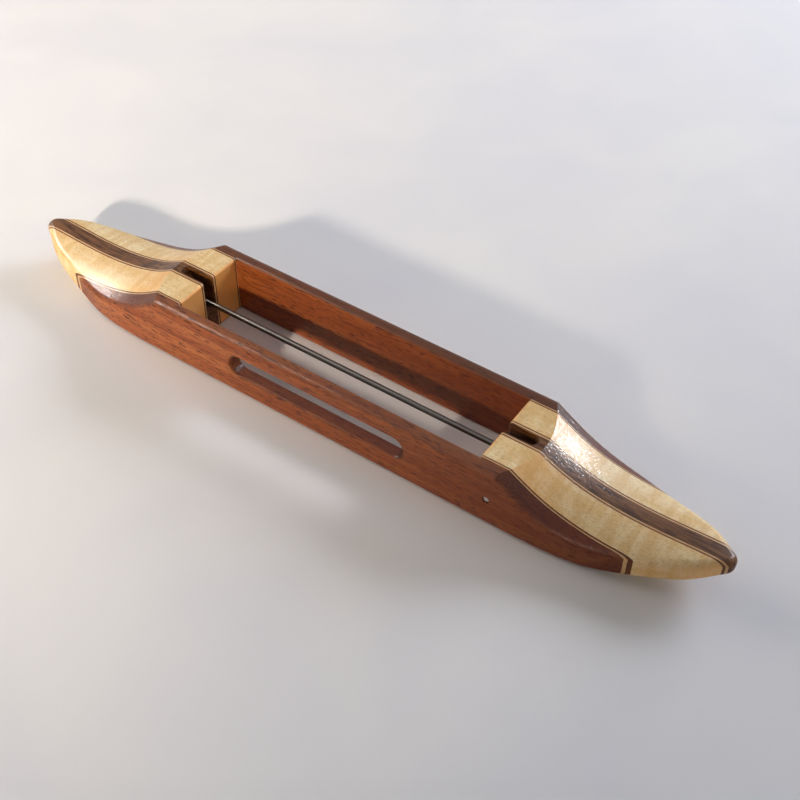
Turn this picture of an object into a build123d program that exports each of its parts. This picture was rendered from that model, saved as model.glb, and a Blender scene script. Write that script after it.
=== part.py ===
from build123d import *
import math
import os

# Boat shuttle, open through the bottom, in millimetres.
# X runs along the shuttle, Y across it and Z up. The origin is the middle of the footprint.
# The hinged end of the spindle is at +X, and the rail with the thread slot is at -Y.

# Laminations, from the middle outwards
WALNUT_WIDTH = 6.2
INNER_LIGHT = 0.6
INNER_DARK = 0.55
MAPLE_WIDTH = 12.3
OUTER_DARK = 0.55
OUTER_LIGHT = 0.4
RAIL_WIDTH = 6.0

# Body
BODY_HEIGHT = 27.4
CAVITY_LENGTH = 142.9
DECK_LENGTH = 17.0
NOSE_LENGTH = 76.7

# Nose seen from above: share of the way from the deck to the tip, share of the width there
PLAN_SHARES = (
    (0.27, 0.955),
    (0.43, 0.872),
    (0.55, 0.757),
    (0.75, 0.555),
    (0.88, 0.362),
    (0.96, 0.18),
)

# Scoop in the top of each nose, crowned across the shuttle about an axis below it
SCOOP_SLOPE = 0.6
SCOOP_DIP = 47.0
SCOOP_DIP_HEIGHT = 17.1
SCOOP_CREST_INSET = 8.2
SCOOP_CREST_HEIGHT = 18.0
SCOOP_END_HEIGHT = 17.4
CROWN_DEPTH = 23.0

# Way down into the scoop: share of the way to its dip, share of its depth there
SCOOP_SHARES = (
    (0.16, 0.375),
    (0.41, 0.75),
    (0.67, 0.945),
)

# Keel, the upward sweep under each nose, from the edge of the deck
KEEL_START = 17.0
KEEL_TIP_HEIGHT = 12.0

# Rounded edges
TOP_ROUND = 2.9
KEEL_ROUND = 2.1
RIM_ROUND = 1.4
MOUTH_ROUND = 1.0
UNDER_ROUND = 1.0
FEATHER = 0.15
TOP_LIMIT = 0.55
KEEL_LIMIT = 0.4

# Thread slot in the front rail
THREAD_SLOT_LENGTH = 82.5
THREAD_SLOT_BELOW = 10.2
THREAD_SLOT_ABOVE = 7.4
THREAD_SLOT_CORNER = 4.3
THREAD_SLOT_ROUND = 1.5
THREAD_SLOT_INNER_ROUND = 1.0

# Hinge pin, driven in from the front rail
PIN_DIAMETER = 2.4
PIN_INSET = 6.9
PIN_END_WALL = 2.3
PIN_RECESS = 0.4
PIN_SINK_GAP = 0.28
PIN_SINK_DEPTH = 1.5
PIN_EDGE = 0.2

# Spindle
SPINDLE_DIAMETER = 2.4
SPINDLE_HEIGHT = 15.1
SPINDLE_OFFSET = 1.9
SPINDLE_TAPER = 11.0
SPINDLE_TIP_DIAMETER = 1.0
SPINDLE_REACH = 6.0
SPINDLE_TENON_DIAMETER = 1.8
SPINDLE_NECK = 0.5

# Slots that the spindle lies in, and the block that it turns with
SLOT_WIDTH = 5.0
SLOT_RAMP_RUN = 7.5
TIP_ROOM = 0.4
HEEL_ROOM = 3.2
BLOCK_WALL = 1.0
BLOCK_EDGE = 0.5
SOCKET_DEPTH = 3.2

# Clearances
DRIVE_FIT = 0.02
TURN_FIT = 0.05
REST_GAP = 0.3
BLOCK_SIDE_GAP = 0.35

# Values worked out from those above
WALNUT_HALF = WALNUT_WIDTH / 2
MAPLE_INNER = WALNUT_HALF + INNER_LIGHT + INNER_DARK
MAPLE_OUTER = MAPLE_INNER + MAPLE_WIDTH
CAVITY_HALF_WIDTH = MAPLE_OUTER + OUTER_DARK + OUTER_LIGHT
HALF_WIDTH = CAVITY_HALF_WIDTH + RAIL_WIDTH
HALF_CAVITY = CAVITY_LENGTH / 2
DECK_EDGE = HALF_CAVITY + DECK_LENGTH
TIP = DECK_EDGE + NOSE_LENGTH
TIP_THICKNESS = SCOOP_END_HEIGHT - KEEL_TIP_HEIGHT
THREAD_SLOT_HEIGHT = BODY_HEIGHT - THREAD_SLOT_BELOW - THREAD_SLOT_ABOVE
THREAD_SLOT_MIDDLE = THREAD_SLOT_BELOW + THREAD_SLOT_HEIGHT / 2
SPINDLE_RADIUS = SPINDLE_DIAMETER / 2
TENON_RADIUS = SPINDLE_TENON_DIAMETER / 2
PIN_RADIUS = PIN_DIAMETER / 2
PIN_X = HALF_CAVITY + PIN_INSET
PIN_HEIGHT = SPINDLE_HEIGHT - SPINDLE_OFFSET
PIN_END = MAPLE_OUTER - PIN_END_WALL
BLOCK_WIDTH = SLOT_WIDTH - 2 * BLOCK_SIDE_GAP
BLOCK_HEEL = SPINDLE_OFFSET + TENON_RADIUS + DRIVE_FIT + BLOCK_WALL
BLOCK_REACH = PIN_RADIUS + TURN_FIT + BLOCK_WALL + SOCKET_DEPTH
BLOCK_FRONT_X = PIN_X - BLOCK_REACH
SOCKET_END_X = BLOCK_FRONT_X + SOCKET_DEPTH
NECK_X = BLOCK_FRONT_X - SPINDLE_NECK
SPINDLE_TIP_X = -HALF_CAVITY - SPINDLE_REACH
TIP_SLOT_FLOOR = SPINDLE_HEIGHT - SPINDLE_RADIUS - REST_GAP
TIP_SLOT_LENGTH = SPINDLE_REACH + TIP_ROOM + SLOT_RAMP_RUN
HINGE_SLOT_FLOOR = PIN_HEIGHT - BLOCK_HEEL - REST_GAP
HINGE_SLOT_LENGTH = PIN_INSET + BLOCK_HEEL + HEEL_ROOM

# Working values: how far cuts run past the body, how close counts as the same place, how steep
# a face is to count as facing up or down, and the arc that the crown is turned through
OVERRUN = 5.0
CLOSE = 0.01
FACING_SLOPE = 0.3
CROWN_ARC = 100.0

# Laminations of the front half of a nose: name, inner face, outer face
LAYERS = []
inner_face = WALNUT_HALF
for layer_name, thickness in (
    ("inner_light", INNER_LIGHT),
    ("inner_dark", INNER_DARK),
    ("maple", MAPLE_WIDTH),
    ("outer_dark", OUTER_DARK),
    ("outer_light", OUTER_LIGHT),
):
    LAYERS.append((layer_name, inner_face, inner_face + thickness))
    inner_face += thickness


def block_between(low, high):
    """A box from its lowest to its highest corner."""
    size = [b - a for a, b in zip(low, high)]
    centre = [(a + b) / 2 for a, b in zip(low, high)]
    return Pos(*centre) * Box(*size)


def rod_across(x, z, radius, front, back):
    """A round bar that runs across the shuttle."""
    return Pos(x, (front + back) / 2, z) * Rot(90, 0, 0) * Cylinder(radius, back - front)


def plan_outline():
    """The body seen from above, as a face."""
    points = [(DECK_EDGE, HALF_WIDTH)]
    for along, across in PLAN_SHARES:
        points.append((DECK_EDGE + NOSE_LENGTH * along, HALF_WIDTH * across))
    points.append((TIP, 0))
    nose = Spline(*points, tangents=[(1, 0), (0, -1)])
    side = Line((-DECK_EDGE, HALF_WIDTH), (DECK_EDGE, HALF_WIDTH))
    half = Curve() + [nose, side, mirror(nose, Plane.YZ)]
    return make_face(half + mirror(half, Plane.XZ))


def scoop_cutter():
    """What is cut from above the right-hand nose, crowned by turning it about the axis."""
    deck_radius = BODY_HEIGHT + CROWN_DEPTH
    rise = math.hypot(deck_radius, HALF_WIDTH + OVERRUN) - deck_radius
    points = [(DECK_EDGE - rise / SCOOP_SLOPE, BODY_HEIGHT + rise)]
    points.append((DECK_EDGE, BODY_HEIGHT))
    for along, down in SCOOP_SHARES:
        height = BODY_HEIGHT - (BODY_HEIGHT - SCOOP_DIP_HEIGHT) * down
        points.append((DECK_EDGE + SCOOP_DIP * along, height))
    points.append((DECK_EDGE + SCOOP_DIP, SCOOP_DIP_HEIGHT))
    points.append((TIP - SCOOP_CREST_INSET, SCOOP_CREST_HEIGHT))
    points.append((TIP + OVERRUN, SCOOP_END_HEIGHT))
    top = BODY_HEIGHT + rise + OVERRUN
    rim = Polyline(points[-1], (TIP + OVERRUN, top), (points[0][0], top), points[0])
    section = make_face(Plane.XZ * (Curve() + [Spline(*points), rim]))
    axis = Axis((0, 0, -CROWN_DEPTH), (1, 0, 0))
    return revolve(section.rotate(axis, -CROWN_ARC / 2), axis, CROWN_ARC)


def keel_cutter():
    """What is cut from below the right-hand nose, an arc that leaves the flat bottom smoothly."""
    start = DECK_EDGE + KEEL_START
    run = TIP - start
    radius = (run**2 + KEEL_TIP_HEIGHT**2) / (2 * KEEL_TIP_HEIGHT)
    beyond = run + OVERRUN
    end = (start + beyond, radius - math.sqrt(radius**2 - beyond**2))
    arc = TangentArc((start, 0), end, tangent=(1, 0))
    rim = Polyline(end, (end[0], -OVERRUN), (start, -OVERRUN), (start, 0))
    section = make_face(Plane.XZ * (Curve() + [arc, rim]))
    return extrude(section, HALF_WIDTH + OVERRUN, both=True)


def outline_edges(body, up):
    """Edges between the upright side and what faces up, or down."""
    found = []
    for edge in body.edges():
        middle = edge @ 0.5
        faces = [face for face in body.faces() if edge in face.edges()]
        slopes = [up * face.normal_at(middle).Z for face in faces]
        if min(abs(slope) for slope in slopes) < CLOSE and max(slopes) > FACING_SLOPE:
            found.append(edge)
    return found


def hull():
    """The outside of the body, with its long edges rounded."""
    body = extrude(plan_outline(), BODY_HEIGHT)
    for cutter in (scoop_cutter(), keel_cutter()):
        body = body - cutter - mirror(cutter, Plane.YZ)
    body = fillet(outline_edges(body, 1), min(TOP_ROUND, TIP_THICKNESS * TOP_LIMIT))
    return fillet(outline_edges(body, -1), min(KEEL_ROUND, TIP_THICKNESS * KEEL_LIMIT))


def near(value, *targets):
    """Whether a value is one of the targets."""
    return any(abs(value - target) < CLOSE for target in targets)


def open_cavity(body):
    """The body with its opening, rounded at the top and the bottom rim."""
    body -= block_between(
        (-HALF_CAVITY, -CAVITY_HALF_WIDTH, -OVERRUN),
        (HALF_CAVITY, CAVITY_HALF_WIDTH, BODY_HEIGHT + OVERRUN),
    )
    for height, radius in ((BODY_HEIGHT, RIM_ROUND), (0, UNDER_ROUND)):
        rim = []
        for edge in body.edges():
            middle = edge @ 0.5
            across = near(abs(middle.X), HALF_CAVITY) and near(middle.Y, 0)
            along = near(abs(middle.Y), CAVITY_HALF_WIDTH) and near(middle.X, 0)
            if near(middle.Z, height) and (across or along):
                rim.append(edge)
        body = fillet(rim, radius)
    return body


def slot_plan(length):
    """A slot at the right-hand end seen from above, round at its end and flared at its mouth."""
    end = HALF_CAVITY + length - SLOT_WIDTH / 2
    start = HALF_CAVITY - OVERRUN
    plan = Pos((start + end) / 2, 0) * Rectangle(end - start, SLOT_WIDTH)
    plan += Pos(end, 0) * Circle(SLOT_WIDTH / 2)
    mouth = SLOT_WIDTH + 2 * MOUTH_ROUND
    plan += Pos(HALF_CAVITY + MOUTH_ROUND / 2, 0) * Rectangle(MOUTH_ROUND, mouth)
    for side in (-1, 1):
        plan -= Pos(HALF_CAVITY + MOUTH_ROUND, side * mouth / 2) * Circle(MOUTH_ROUND)
    return plan


def hinge_slot():
    """The slot that the block turns in, with an upright end."""
    return extrude(Pos(0, 0, HINGE_SLOT_FLOOR) * slot_plan(HINGE_SLOT_LENGTH), BODY_HEIGHT)


def tip_slot():
    """The slot that the tip of the spindle lies in, with a floor that ramps up to the deck."""
    slot = extrude(Pos(0, 0, TIP_SLOT_FLOOR) * slot_plan(TIP_SLOT_LENGTH), BODY_HEIGHT)
    slope = (BODY_HEIGHT - TIP_SLOT_FLOOR) / SLOT_RAMP_RUN
    foot = HALF_CAVITY + SPINDLE_REACH + TIP_ROOM
    past = foot + SLOT_RAMP_RUN + OVERRUN
    side = Polyline(
        (foot, TIP_SLOT_FLOOR),
        (past, TIP_SLOT_FLOOR + slope * (past - foot)),
        (past, -OVERRUN),
        (foot, -OVERRUN),
        close=True,
    )
    ramp = extrude(make_face(Plane.XZ * side), SLOT_WIDTH, both=True)
    return mirror(slot - ramp, Plane.YZ)


def pin_hole():
    """The hole for the hinge pin, with the sink around its head."""
    outside = -HALF_WIDTH - OVERRUN
    hole = rod_across(PIN_X, PIN_HEIGHT, PIN_RADIUS + DRIVE_FIT, outside, PIN_END)
    sink_radius = PIN_RADIUS + PIN_SINK_GAP
    return hole + rod_across(PIN_X, PIN_HEIGHT, sink_radius, outside, PIN_SINK_DEPTH - HALF_WIDTH)


def upright_slab(low_x, high_x, low_y, high_y):
    """A slab that stands taller than the body."""
    return block_between((low_x, low_y, -OVERRUN), (high_x, high_y, BODY_HEIGHT + OVERRUN))


def lamination(body, low_x, high_x, low_y, high_y):
    """A lamination of the body, with the feather edge at its nose ends taken back."""
    piece = body & upright_slab(low_x, high_x, low_y, high_y)
    box = piece.bounding_box()
    low_end = box.min.X + FEATHER if box.min.X < -DECK_EDGE else box.min.X - OVERRUN
    high_end = box.max.X - FEATHER if box.max.X > DECK_EDGE else box.max.X + OVERRUN
    return piece & upright_slab(low_end, high_end, low_y, high_y)


def cut_thread_slot(rail):
    """The front rail with its thread slot, rounded on both faces."""
    corner = min(THREAD_SLOT_CORNER, THREAD_SLOT_HEIGHT / 2 - CLOSE)
    plan = RectangleRounded(THREAD_SLOT_LENGTH, THREAD_SLOT_HEIGHT, corner)
    plan = Plane.XZ.offset(CAVITY_HALF_WIDTH - OVERRUN) * Pos(0, THREAD_SLOT_MIDDLE) * plan
    rail -= extrude(plan, RAIL_WIDTH + 2 * OVERRUN)
    for face_y, radius in (
        (-HALF_WIDTH, THREAD_SLOT_ROUND),
        (-CAVITY_HALF_WIDTH, THREAD_SLOT_INNER_ROUND),
    ):
        lip = []
        for edge in rail.edges():
            middle = edge @ 0.5
            inside = abs(middle.X) < THREAD_SLOT_LENGTH / 2 + CLOSE
            level = abs(middle.Z - THREAD_SLOT_MIDDLE) < THREAD_SLOT_HEIGHT / 2 + CLOSE
            if near(middle.Y, face_y) and inside and level:
                lip.append(edge)
        rail = fillet(lip, radius)
    return rail


def wood_pieces():
    """The laminations of the body, by node name."""
    body = open_cavity(hull()) - hinge_slot() - tip_slot() - pin_hole()
    far = TIP + OVERRUN
    outside = HALF_WIDTH + OVERRUN
    pieces = {
        "rail_front": cut_thread_slot(lamination(body, -far, far, -outside, -CAVITY_HALF_WIDTH)),
        "rail_back": lamination(body, -far, far, CAVITY_HALF_WIDTH, outside),
    }
    for end, low_x, high_x in (("left", -far, 0), ("right", 0, far)):
        pieces[f"walnut_{end}"] = body & upright_slab(low_x, high_x, -WALNUT_HALF, WALNUT_HALF)
        for name, inner, outer in LAYERS:
            pieces[f"{name}_front_{end}"] = lamination(body, low_x, high_x, -outer, -inner)
            pieces[f"{name}_back_{end}"] = lamination(body, low_x, high_x, inner, outer)
    return pieces


def spindle():
    """The rod, with a tapered tip, turned down to a tenon just before it enters the block."""
    tip_radius = SPINDLE_TIP_DIAMETER / 2
    tip = SPINDLE_TIP_X + tip_radius
    shoulder = SPINDLE_TIP_X + SPINDLE_TAPER
    end = SOCKET_END_X - DRIVE_FIT
    profile = Polyline(
        (tip, 0),
        (end, 0),
        (end, TENON_RADIUS),
        (NECK_X, TENON_RADIUS),
        (NECK_X, SPINDLE_RADIUS),
        (shoulder, SPINDLE_RADIUS),
        (tip, tip_radius),
        close=True,
    )
    rod = revolve(make_face(Plane.XZ * profile), Axis.X)
    return Pos(0, 0, SPINDLE_HEIGHT) * (rod + Pos(tip, 0, 0) * Sphere(tip_radius))


def hinge_block():
    """The knuckle that the rod is pressed into, with its round heel about the pin."""
    side = Circle(BLOCK_HEEL) + Pos(-BLOCK_REACH / 2, 0) * Rectangle(BLOCK_REACH, 2 * BLOCK_HEEL)
    corners = [v for v in side.vertices() if near(v.X, -BLOCK_REACH)]
    side = fillet(corners, BLOCK_EDGE)
    block = extrude(Plane.XZ * side, BLOCK_WIDTH / 2, both=True)
    block = Pos(PIN_X, 0, PIN_HEIGHT) * block
    block -= rod_across(PIN_X, PIN_HEIGHT, PIN_RADIUS + TURN_FIT, -SLOT_WIDTH, SLOT_WIDTH)
    middle = (SOCKET_END_X + BLOCK_FRONT_X - OVERRUN) / 2
    socket = Cylinder(TENON_RADIUS + DRIVE_FIT, SOCKET_DEPTH + OVERRUN)
    return block - Pos(middle, 0, SPINDLE_HEIGHT) * Rot(0, 90, 0) * socket


def hinge_pin():
    """The pin, driven in below the face of the front rail."""
    pin = rod_across(PIN_X, PIN_HEIGHT, PIN_RADIUS, PIN_RECESS - HALF_WIDTH, PIN_END - DRIVE_FIT)
    return fillet(pin.edges().filter_by(GeomType.CIRCLE), PIN_EDGE)


pieces = wood_pieces()
pieces["spindle"] = spindle()
pieces["hinge_block"] = hinge_block()
pieces["hinge_pin"] = hinge_pin()

os.makedirs("parts", exist_ok=True)
for name, piece in pieces.items():
    export_step(piece, f"parts/{name}.step")
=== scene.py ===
import bpy
from math import radians
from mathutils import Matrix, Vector

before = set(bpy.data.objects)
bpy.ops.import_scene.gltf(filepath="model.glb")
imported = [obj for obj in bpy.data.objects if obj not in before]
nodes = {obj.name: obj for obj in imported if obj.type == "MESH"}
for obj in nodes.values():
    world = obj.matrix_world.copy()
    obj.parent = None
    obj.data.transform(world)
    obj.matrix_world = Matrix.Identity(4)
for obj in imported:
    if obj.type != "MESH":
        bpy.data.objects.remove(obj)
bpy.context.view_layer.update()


# Side rails
# Two lengths of reddish brown hardwood, sawn along the grain and glued to the outside of the
# body. Their edges are sanded round, and they are finished with a gloss lacquer.

# Grain is written in mm, and Object coordinates are in metres
MM = 1000
# A Mix node has sockets for each kind of data. These are its amount and its colours.
AMOUNT, UNDER, OVER, MIXED = 0, 6, 7, 2


def srgb(code):
    """A written colour, such as 8A4A32, as the linear values that a shader reads."""
    parts = [int(code[i:i + 2], 16) / 255 for i in (0, 2, 4)]
    return [((v + 0.055) / 1.055) ** 2.4 if v > 0.04045 else v / 12.92 for v in parts] + [1.0]


def add(material, kind, settings=()):
    """One node in a material. A setting is a value or another node's output. It goes to the
    socket of its name or number, or else to the node itself."""
    node = material.node_tree.nodes.new(kind)
    for name, value in dict(settings).items():
        if isinstance(value, bpy.types.NodeSocket):
            material.node_tree.links.new(value, node.inputs[name])
        elif isinstance(name, int) or name in node.inputs:
            node.inputs[name].default_value = value
        else:
            setattr(node, name, value)
    return node


def new_material(name):
    """A material with no nodes in it yet."""
    material = bpy.data.materials.new(name)
    material.use_nodes = True
    material.node_tree.nodes.clear()
    return material


def dress(material, *pieces):
    """Gives CAD pieces their material."""
    for piece in pieces:
        nodes[piece].material_slots[0].material = material


def fibres(material, along, across, detail, start):
    """Noise drawn out along the shuttle. Its sizes are in mm, and start shifts it, so that no two
    patterns match."""
    place = add(material, "ShaderNodeTexCoord")
    drawn = add(material, "ShaderNodeMapping",
                {"Vector": place.outputs["Object"], "Location": (start, start, start),
                 "Scale": (MM / along, MM / across, MM / across)})
    noise = add(material, "ShaderNodeTexNoise",
                {"Vector": drawn.outputs["Vector"], "Scale": 1.0, "Detail": detail,
                 "Roughness": 0.6, "Distortion": 0.35})
    return noise.outputs["Fac"]


def facing(material, axis):
    """How squarely a face looks along an axis: 0 edge on, 1 square to it."""
    place = add(material, "ShaderNodeTexCoord")
    parts = add(material, "ShaderNodeSeparateXYZ", {"Vector": place.outputs["Normal"]})
    size = add(material, "ShaderNodeMath", {"operation": "ABSOLUTE", 0: parts.outputs[axis]})
    return size.outputs["Value"]


def stain(material, ground, colour, pattern, low, high, strength=1.0):
    """A colour that comes in over the ground as a pattern goes from low to high, up to a
    strength. The ground is a colour or an earlier stain."""
    amount = add(material, "ShaderNodeMapRange",
                 {"Value": pattern, "From Min": low, "From Max": high, "To Max": strength})
    stained = add(material, "ShaderNodeMix",
                  {"data_type": "RGBA", AMOUNT: amount.outputs["Result"],
                   UNDER: srgb(ground) if isinstance(ground, str) else ground,
                   OVER: srgb(colour)})
    return stained.outputs[MIXED]


# The lacquer's ripple, in mm. The real one is finer, and this is as coarse as it has to be to
# break the glare into specks.
RIPPLE_WIDTH = 0.9
RIPPLE_DEPTH = 0.19


def lacquered(material, colour, pores, low, high, depth, wood_roughness, coat_roughness):
    """Wood under lacquer. Its pores sink to a depth in mm as their pattern goes from low to high.
    The lacquer soaks in, so that the wood hardly shines, and the coat over it does."""
    filled = add(material, "ShaderNodeMapRange",
                 {"Value": pores, "From Min": low, "From Max": high, "To Min": 1.0, "To Max": 0.0})
    wood = add(material, "ShaderNodeBump",
               {"Height": filled.outputs["Result"], "Strength": 0.6, "Distance": depth / MM})
    ripple = fibres(material, RIPPLE_WIDTH, RIPPLE_WIDTH, 1.0, 7.0)
    skin = add(material, "ShaderNodeBump",
               {"Height": ripple, "Strength": 1.0, "Distance": RIPPLE_DEPTH / MM})
    shader = add(material, "ShaderNodeBsdfPrincipled",
                 {"Base Color": colour, "Roughness": wood_roughness, "Specular IOR Level": 0.1,
                  "Normal": wood.outputs["Normal"], "Coat Weight": 0.4, "Coat IOR": 1.5,
                  "Coat Roughness": coat_roughness, "Coat Normal": skin.outputs["Normal"]})
    add(material, "ShaderNodeOutputMaterial", {"Surface": shader.outputs["BSDF"]})


# Lacquered mahogany: broad red and brown bands, darker streaks, and short dark pores. Real pores
# are about 0.2 mm across, and these are 0.5 mm so that they show. The far board is a little
# darker, and both are painted darker towards the hinge, a painted shade where the light falls off.
SHADE_DRIFT_START, SHADE_DRIFT_END = -0.06, 0.1
TOP_FOOT, TOP_CREST = 0.018, 0.024
for rail, side, deep, pale, top_shade in (("rail_front", "near", "924A25", "AE6636", 0.3),
                                         ("rail_back", "far", "88421E", "A65A2C", 0.7)):
    mahogany = new_material(f"lacquered_mahogany_{side}")
    bands = fibres(mahogany, 120, 5, 2.0, 1.0)
    streaks = fibres(mahogany, 14, 0.8, 3.0, 3.0)
    pores = fibres(mahogany, 5, 0.5, 1.0, 5.0)
    colour = stain(mahogany, deep, pale, bands, 0.35, 0.65)
    colour = stain(mahogany, colour, "6E3216", streaks, 0.48, 0.64, strength=0.55)
    colour = stain(mahogany, colour, "40190B", pores, 0.57, 0.63, strength=0.85)
    place = add(mahogany, "ShaderNodeTexCoord")
    place = add(mahogany, "ShaderNodeSeparateXYZ", {"Vector": place.outputs["Object"]})
    # Painted shade: darker towards the hinge end, where the light falls off
    colour = stain(mahogany, colour, "5A2612", place.outputs["X"], SHADE_DRIFT_START, SHADE_DRIFT_END,
                   strength=0.55)
    # Painted shade on faces that look up: a deep dark red low down, in the thread slot and on the
    # noses, and a dark brown on the rounded tops, heavier on the far board
    upward = add(mahogany, "ShaderNodeMapRange",
                 {"Value": facing(mahogany, "Z"), "From Min": 0.35, "From Max": 0.9})
    for none_at, full_at, tint, strength in ((TOP_CREST, TOP_FOOT, "561E0C", 0.65),
                                             (TOP_FOOT, TOP_CREST, "44240C", top_shade)):
        level = add(mahogany, "ShaderNodeMapRange",
                    {"Value": place.outputs["Z"], "From Min": none_at, "From Max": full_at})
        both = add(mahogany, "ShaderNodeMath",
                   {"operation": "MULTIPLY", 0: upward.outputs["Result"],
                    1: level.outputs["Result"]})
        colour = stain(mahogany, colour, tint, both.outputs["Value"], 0.0, 1.0, strength=strength)
    # Faces cut across the grain, on the noses, are painted dark: partly end grain that drinks the
    # lacquer, partly painted shade
    colour = stain(mahogany, colour, "341208", facing(mahogany, "X"), 0.12, 0.5, strength=0.6)
    lacquered(mahogany, colour, pores, 0.56, 0.64,
              depth=0.06, wood_roughness=0.5, coat_roughness=0.15)
    dress(mahogany, rail)


# Maple blocks
# Four blocks of pale figured maple, two to each nose, with the deck cut flat and the nose carved
# down in one sweep with the rails. The ripple across the grain is in the wood itself.

# Lacquered curly maple: cream to honey, with soft bands across the grain about 4 mm apart, fine
# darker flecks, and orange end faces, partly the end grain and partly painted warm light. The real
# flecks are finer, and these are 0.6 mm across so that they show.
CURL_SPACING, CURL_LENGTH, CURL_SLANT = 3.6, 22, 8
maple = new_material("lacquered_curly_maple")
colour = stain(maple, "F5DEAF", "ECC78B", fibres(maple, 90, 6, 2.0, 11.0), 0.35, 0.65)
place = add(maple, "ShaderNodeTexCoord")
slanted = add(maple, "ShaderNodeMapping",
              {"Vector": place.outputs["Object"], "Rotation": (0, 0, radians(CURL_SLANT)),
               "Scale": (MM / CURL_SPACING, MM / CURL_LENGTH, MM / CURL_LENGTH)})
curl = add(maple, "ShaderNodeTexNoise",
           {"Vector": slanted.outputs["Vector"], "Scale": 1.0, "Detail": 1.0, "Distortion": 0.3})
colour = stain(maple, colour, "E0B270", curl.outputs["Fac"], 0.44, 0.6, strength=0.5)
flecks = fibres(maple, 1.2, 0.6, 2.0, 13.0)
colour = stain(maple, colour, "C29A62", flecks, 0.5, 0.64, strength=0.45)
# End faces painted orange: partly the end grain, partly painted warm light bounced onto them
colour = stain(maple, colour, "F4AC58", facing(maple, "X"), 0.2, 0.8, strength=0.8)
lacquered(maple, colour, flecks, 0.4, 0.7, depth=0.02, wood_roughness=0.45, coat_roughness=0.17)
dress(maple, "maple_front_left", "maple_back_left", "maple_front_right", "maple_back_right")


# Walnut middles
# One strip of dark walnut down the middle of each nose. The left one is slotted for the
# spindle's tip, and the right one for its hinge.

# Lacquered walnut: mid brown with close darker grain and fine pores
walnut = new_material("lacquered_walnut")
grain = fibres(walnut, 12, 1.6, 3.0, 21.0)
pores = fibres(walnut, 4.0, 0.28, 1.0, 23.0)
colour = stain(walnut, "7C4F2B", "472812", grain, 0.4, 0.62)
colour = stain(walnut, colour, "3A200F", pores, 0.58, 0.7, strength=0.7)
lacquered(walnut, colour, pores, 0.58, 0.7, depth=0.05, wood_roughness=0.45, coat_roughness=0.17)
dress(walnut, "walnut_left", "walnut_right")


# Veneer lines
# Two strips glued into every joint between the laminations, one pale and one dark, each about
# half a millimetre thick, and sanded flush with the wood around them.

# Lacquered pale veneer: one tan colour with a faint grain, too thin for a figure
# Lacquered dark veneer: deep brown, with a grain that only just shows
for tint, line, ground, grain_colour, start in (("pale", "light", "DDB684", "C08E5C", 31.0),
                                                ("dark", "dark", "74401F", "562A12", 33.0)):
    veneer = new_material(f"lacquered_{tint}_veneer")
    grain = fibres(veneer, 12, 0.3, 2.0, start)
    colour = stain(veneer, ground, grain_colour, grain, 0.4, 0.7)
    lacquered(veneer, colour, grain, 1.0, 0.0,
              depth=0.01, wood_roughness=0.45, coat_roughness=0.17)
    for layer in ("inner", "outer"):
        dress(veneer, *(f"{layer}_{line}_{side}_{end}"
                        for side in ("front", "back") for end in ("left", "right")))


# Hinge
# A steel pin driven in through the near rail, and the steel block that turns on it. The end of
# the pin was cut off and left bare, a little below the face of the rail.

# Tool marks on steel: their depth in mm, and how far they change its roughness
MARK_DEPTH = 0.01
MARK_GLOSS = 0.08


def steel(name, pale, dull, roughness, along, across):
    """Bare steel with tool marks of a length and width in mm."""
    metal = new_material(name)
    marks = fibres(metal, along, across, 2.0, 41.0)
    rough = add(metal, "ShaderNodeMapRange",
                {"Value": marks, "From Min": 0.3, "From Max": 0.7,
                 "To Min": roughness - MARK_GLOSS, "To Max": roughness + MARK_GLOSS})
    scored = add(metal, "ShaderNodeBump",
                 {"Height": marks, "Strength": 0.3, "Distance": MARK_DEPTH / MM})
    shader = add(metal, "ShaderNodeBsdfPrincipled",
                 {"Base Color": stain(metal, pale, dull, marks, 0.35, 0.7), "Metallic": 1.0,
                  "Roughness": rough.outputs["Result"], "Normal": scored.outputs["Normal"]})
    add(metal, "ShaderNodeOutputMaterial", {"Surface": shader.outputs["BSDF"]})
    return metal


# Cut steel: pale and dull, with the cutter's marks
dress(steel("cut_steel", "E2DFDB", "BDB9B4", 0.42, 0.5, 0.5), "hinge_pin")
# Blackened steel: so dark and dull that the block is lost in its slot
dress(steel("blackened_steel", "4A4745", "2F2D2C", 0.5, 1.5, 0.4), "hinge_block")


# Spindle
# A drawn steel rod with a tapered tip, pressed into the block. It has been handled, so it is
# duller than new rod, with fine lines along it from drawing.

# Drawn steel: mid grey with soft reflections, and lines 0.15 mm apart along the rod, which are
# coarser than real ones so that they show
dress(steel("drawn_steel", "67625D", "413D3A", 0.32, 25, 0.15), "spindle")


# Table
# The pale matt table that the shuttle lies on. It isn't part of the object, and is there for the
# shadow and for the pale ground of the picture.

bpy.ops.mesh.primitive_plane_add(size=6.0)
table = bpy.context.object
table.name = "table"

# Matt pale tabletop: nearly white, with clouds 90 mm across that only just show
tabletop = new_material("matt_pale_tabletop")
colour = stain(tabletop, "EFEDEC", "E8E7EA", fibres(tabletop, 90, 90, 2.0, 51.0), 0.35, 0.65)
near_by = add(tabletop, "ShaderNodeBsdfPrincipled",
              {"Base Color": colour, "Roughness": 0.75, "Specular IOR Level": 0.15})

# Far off, where the lamps don't reach, it is seen as pale as the room behind it, so that the
# picture has no dark edge. It lights nothing there. The fade is in metres from the shuttle.
ROOM_COLOUR = "EEF0F4"
SEEN_LEVEL = 0.77
FADE_START, FADE_END = 0.42, 0.9


def seen(material):
    """1 for what the camera sees straight, in a gloss or through a clear thing, else 0."""
    path = add(material, "ShaderNodeLightPath")
    straight_or_gloss = add(material, "ShaderNodeMath",
                            {"operation": "ADD", 0: path.outputs["Is Camera Ray"],
                             1: path.outputs["Is Glossy Ray"]})
    any_of_them = add(material, "ShaderNodeMath",
                      {"operation": "ADD", "use_clamp": True,
                       0: straight_or_gloss.outputs["Value"],
                       1: path.outputs["Is Transmission Ray"]})
    return any_of_them.outputs["Value"]


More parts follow.
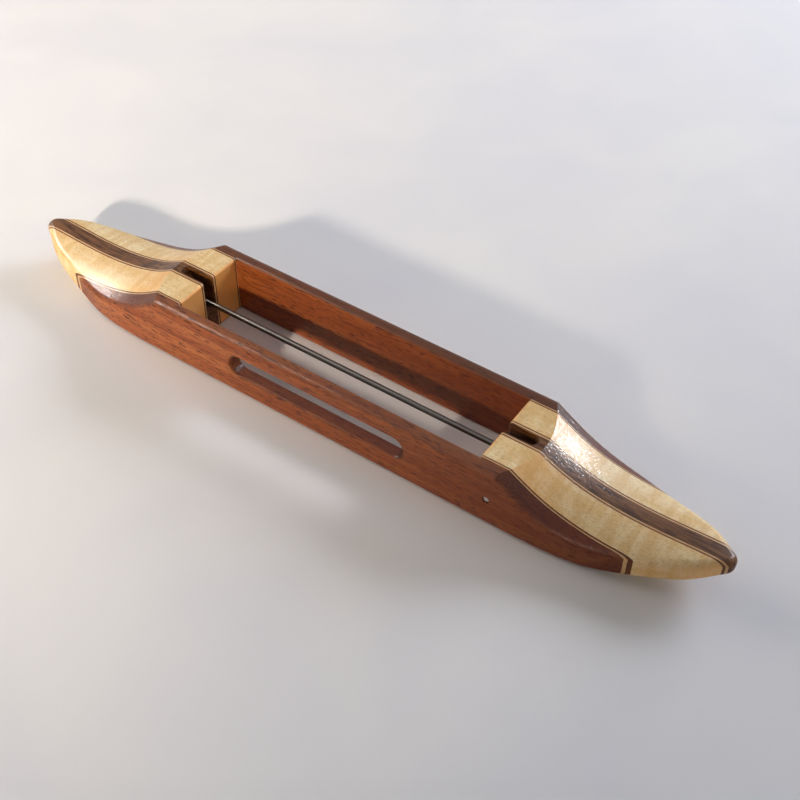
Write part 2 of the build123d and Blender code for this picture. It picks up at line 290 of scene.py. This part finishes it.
place = add(tabletop, "ShaderNodeTexCoord")
distance = add(tabletop, "ShaderNodeVectorMath",
               {"operation": "LENGTH", 0: place.outputs["Object"]})
fade = add(tabletop, "ShaderNodeMapRange",
           {"Value": distance.outputs["Value"], "From Min": FADE_START, "From Max": FADE_END})
seen_fade = add(tabletop, "ShaderNodeMath",
                {"operation": "MULTIPLY", 0: fade.outputs["Result"], 1: seen(tabletop)})
far_off = add(tabletop, "ShaderNodeEmission",
              {"Color": srgb(ROOM_COLOUR), "Strength": SEEN_LEVEL})
faded = add(tabletop, "ShaderNodeMixShader",
            {0: seen_fade.outputs["Value"], 1: near_by.outputs["BSDF"],
             2: far_off.outputs["Emission"]})
add(tabletop, "ShaderNodeOutputMaterial", {"Surface": faded.outputs["Shader"]})
table.data.materials.append(tabletop)


# Light
# A low warm lamp on the near side throws the shadow, with wide pale panels on the far side, off
# both ends and overhead, and an even pale room. The lamps named glint and haze show only in the
# gloss, where the lacquer in the photograph reflects a lamp and a window.

MIDDLE = (0.0, 0.0, 0.0)
LAMP_WHITE = "FFF1DE"
WINDOW_WHITE = "F6F8FF"
SIDE_WHITE = "FFFAF2"


def panel(name, lights, towards, aim, distance, size, watts, colour, spread=180):
    """A soft lamp off in a direction from the shuttle, turned to face a point. It lights the
    surfaces or shows in their gloss, and never does both. Lengths are in metres, and the spread
    of its light is in degrees."""
    data = bpy.data.lights.new(name, "AREA")
    data.shape = "RECTANGLE"
    data.size, data.size_y = size
    data.spread = radians(spread)
    data.energy = watts
    data.color = srgb(colour)[:3]
    lamp = bpy.data.objects.new(name, data)
    lamp.location = Vector(towards).normalized() * distance
    lamp.rotation_mode = "QUATERNION"
    lamp.rotation_quaternion = (lamp.location - Vector(aim)).to_track_quat("Z", "Y")
    lamp.visible_diffuse = lights == "surfaces"
    lamp.visible_glossy = lights == "gloss"
    bpy.context.scene.collection.objects.link(lamp)


panel("near_lamp", "surfaces", towards=(0.0, -0.92, 0.39), aim=(-0.34, 0.0, 0.0), distance=1.6,
      size=(0.11, 0.11), watts=1.5, colour=LAMP_WHITE, spread=36)
panel("near_glint", "gloss", towards=(0.0, -0.92, 0.39), aim=(-0.3, 0.0, 0.0), distance=1.6,
      size=(0.3, 0.3), watts=4.0, colour=LAMP_WHITE)
panel("far_window", "surfaces", towards=(0.3, 0.88, 0.4), aim=(0.1, 0.3, 0.0), distance=1.3,
      size=(0.9, 0.5), watts=4.9, colour="EEF3FF", spread=100)
panel("window_glint", "gloss", towards=(0.354, 0.834, 0.423), aim=MIDDLE, distance=1.4,
      size=(0.3, 0.25), watts=23.0, colour=WINDOW_WHITE)
panel("window_haze", "gloss", towards=(0.34, 0.76, 0.56), aim=MIDDLE, distance=1.4,
      size=(0.8, 0.45), watts=5.0, colour=WINDOW_WHITE)
panel("left_panel", "surfaces", towards=(-0.94, 0.0, 0.3), aim=MIDDLE, distance=1.4,
      size=(0.8, 0.6), watts=9.0, colour=SIDE_WHITE)
panel("left_glint", "gloss", towards=(-0.776, -0.137, 0.616), aim=MIDDLE, distance=1.4,
      size=(0.5, 0.45), watts=33.0, colour=SIDE_WHITE)
panel("right_panel", "surfaces", towards=(0.93, -0.1, 0.35), aim=MIDDLE, distance=1.4,
      size=(0.8, 0.6), watts=1.4, colour=SIDE_WHITE)
panel("overhead_panel", "surfaces", towards=(0.1, 0.2, 1.0), aim=MIDDLE, distance=1.5,
      size=(1.2, 1.2), watts=2.6, colour="FAFBFF")

# The room lights the shuttle a little, and is seen much paler than that
ROOM_LEVEL = 0.05
room = bpy.data.worlds.new("pale_room")
bpy.context.scene.world = room
room.use_nodes = True
level = add(room, "ShaderNodeMath",
            {"operation": "MULTIPLY_ADD", 0: seen(room), 1: SEEN_LEVEL - ROOM_LEVEL,
             2: ROOM_LEVEL})
walls = room.node_tree.nodes["Background"]
walls.inputs["Color"].default_value = srgb(ROOM_COLOUR)
room.node_tree.links.new(level.outputs["Value"], walls.inputs["Strength"])


# Camera
# Where the photograph was taken from, found from the shuttle's own edges. It is turned by its
# tilt, its roll and its heading, in degrees.

lens = bpy.data.cameras.new("camera")
lens.lens = 55.981
lens.sensor_width = 36.0
lens.clip_start, lens.clip_end = 0.01, 20.0
camera = bpy.data.objects.new("camera", lens)
camera.location = (0.214077, -0.279911, 0.360349)
camera.rotation_euler = [radians(angle) for angle in (44.26786, -0.49531, 34.60404)]
bpy.context.scene.collection.objects.link(camera)
bpy.context.scene.camera = camera
bpy.context.scene.view_settings.view_transform = "Standard"
